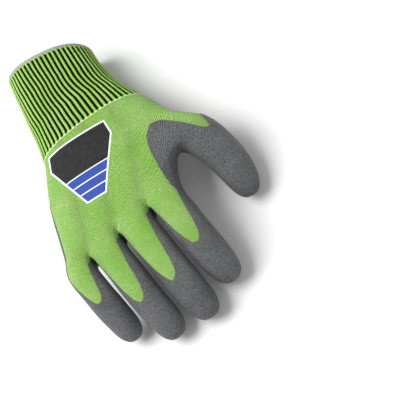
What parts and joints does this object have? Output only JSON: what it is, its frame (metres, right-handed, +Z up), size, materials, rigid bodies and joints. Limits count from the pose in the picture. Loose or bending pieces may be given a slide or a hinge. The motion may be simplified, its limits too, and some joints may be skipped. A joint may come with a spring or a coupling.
{
  "type": "cut-resistant glove",
  "caption": "Right-hand cut-resistant knit glove: jointed fingers and thumb, dipped palm and fingertips, and a ribbed wrist cuff that bends.",
  "frame": {"origin": "middle of the underside of the bounding box, on the surface that the glove lies on", "axes": "+Y from the cuff to the fingertips, +X to the little finger side, +Z up through the back of the hand"},
  "size_m": [0.14, 0.226, 0.0533],
  "materials": {
    "knit": "lime seamless knit of cut-resistant yarn",
    "coating": "thin foamed dip coating with a fine sandy grain, matte",
    "rib": "elastic rib knit, lime ribs between black threads",
    "hem_thread": "overlock stitching",
    "join_thread": "course of black and lime stitches",
    "label_white": "printed transfer film",
    "label_black": "printed transfer film",
    "label_blue": "printed transfer film"
  },
  "bodies": {
    "hand": {"hand_liner": "knit", "join_course": "join_thread", "label_backing": "label_white", "label_band_1": "label_blue", "label_band_2": "label_blue", "label_band_3": "label_blue", "label_field": "label_black", "palm_coating": "coating", "wrist_rib": "rib"},
    "cuff": {"cuff_hem": "hem_thread", "cuff_rib": "rib"},
    "index_base": {"index_base_coating": "coating", "index_base_liner": "knit"},
    "index_middle": {"index_middle_coating": "coating", "index_middle_liner": "knit"},
    "index_tip": {"index_tip_coating": "coating", "index_tip_liner": "knit"},
    "little_base": {"little_base_coating": "coating", "little_base_liner": "knit"},
    "little_middle": {"little_middle_coating": "coating", "little_middle_liner": "knit"},
    "little_tip": {"little_tip_coating": "coating", "little_tip_liner": "knit"},
    "middle_base": {"middle_base_coating": "coating", "middle_base_liner": "knit"},
    "middle_middle": {"middle_middle_coating": "coating", "middle_middle_liner": "knit"},
    "middle_tip": {"middle_tip_coating": "coating", "middle_tip_liner": "knit"},
    "ring_base": {"ring_base_coating": "coating", "ring_base_liner": "knit"},
    "ring_middle": {"ring_middle_coating": "coating", "ring_middle_liner": "knit"},
    "ring_tip": {"ring_tip_coating": "coating", "ring_tip_liner": "knit"},
    "thumb_base": {"thumb_base_coating": "coating", "thumb_base_liner": "knit"},
    "thumb_tip": {"thumb_tip_coating": "coating", "thumb_tip_liner": "knit"}
  },
  "joints": [
    {"name": "index_knuckle_bend", "type": "hinge", "parent": "hand", "child": "index_base", "pos_m": [-0.01354, 0.04805, 0.03258], "axis": [-1, 0, 0], "range_deg": [-20, 60], "stiffness_Nm_per_rad": 0.05},
    {"name": "index_middle_bend", "type": "hinge", "parent": "index_base", "child": "index_middle", "pos_m": [-0.01354, 0.06387, 0.02836], "axis": [-1, 0, 0], "range_deg": [-15, 60], "stiffness_Nm_per_rad": 0.04},
    {"name": "index_tip_bend", "type": "hinge", "parent": "index_middle", "child": "index_tip", "pos_m": [-0.01354, 0.07962, 0.02019], "axis": [-1, 0, 0], "range_deg": [-10, 35], "stiffness_Nm_per_rad": 0.03},
    {"name": "middle_knuckle_bend", "type": "hinge", "parent": "hand", "child": "middle_base", "pos_m": [0.01174, 0.04863, 0.03268], "axis": [-1, 0, 0], "range_deg": [-20, 60], "stiffness_Nm_per_rad": 0.05},
    {"name": "middle_middle_bend", "type": "hinge", "parent": "middle_base", "child": "middle_middle", "pos_m": [0.01174, 0.06661, 0.02853], "axis": [-1, 0, 0], "range_deg": [-15, 60], "stiffness_Nm_per_rad": 0.04},
    {"name": "middle_tip_bend", "type": "hinge", "parent": "middle_middle", "child": "middle_tip", "pos_m": [0.01174, 0.08567, 0.02011], "axis": [-1, 0, 0], "range_deg": [-10, 35], "stiffness_Nm_per_rad": 0.03},
    {"name": "ring_knuckle_bend", "type": "hinge", "parent": "hand", "child": "ring_base", "pos_m": [0.03644, 0.04811, 0.03274], "axis": [-1, 0, 0], "range_deg": [-20, 60], "stiffness_Nm_per_rad": 0.05},
    {"name": "ring_middle_bend", "type": "hinge", "parent": "ring_base", "child": "ring_middle", "pos_m": [0.03644, 0.06551, 0.02843], "axis": [-1, 0, 0], "range_deg": [-15, 60], "stiffness_Nm_per_rad": 0.04},
    {"name": "ring_tip_bend", "type": "hinge", "parent": "ring_middle", "child": "ring_tip", "pos_m": [0.03644, 0.08339, 0.0199], "axis": [-1, 0, 0], "range_deg": [-10, 35], "stiffness_Nm_per_rad": 0.03},
    {"name": "little_knuckle_bend", "type": "hinge", "parent": "hand", "child": "little_base", "pos_m": [0.05937, 0.04695, 0.03279], "axis": [-1, 0, 0], "range_deg": [-20, 60], "stiffness_Nm_per_rad": 0.05},
    {"name": "little_middle_bend", "type": "hinge", "parent": "little_base", "child": "little_middle", "pos_m": [0.05937, 0.05997, 0.02825], "axis": [-1, 0, 0], "range_deg": [-15, 60], "stiffness_Nm_per_rad": 0.04},
    {"name": "little_tip_bend", "type": "hinge", "parent": "little_middle", "child": "little_tip", "pos_m": [0.05937, 0.0715, 0.02008], "axis": [-1, 0, 0], "range_deg": [-10, 35], "stiffness_Nm_per_rad": 0.03},
    {"name": "thumb_base_bend", "type": "hinge", "parent": "hand", "child": "thumb_base", "pos_m": [-0.054, 0.02015, 0.02112], "axis": [-0.7579, -0.3657, -0.5403], "range_deg": [-25, 35], "stiffness_Nm_per_rad": 0.06},
    {"name": "thumb_tip_bend", "type": "hinge", "parent": "thumb_base", "child": "thumb_tip", "pos_m": [-0.05636, 0.03885, 0.0144], "axis": [-0.8161, -0.1992, -0.5424], "range_deg": [-10, 55], "stiffness_Nm_per_rad": 0.04},
    {"name": "wrist_bend", "type": "hinge", "parent": "hand", "child": "cuff", "pos_m": [0.00149, -0.0601, 0.02568], "axis": [1, 0, 0], "range_deg": [-25, 25], "stiffness_Nm_per_rad": 0.1}
  ]
}
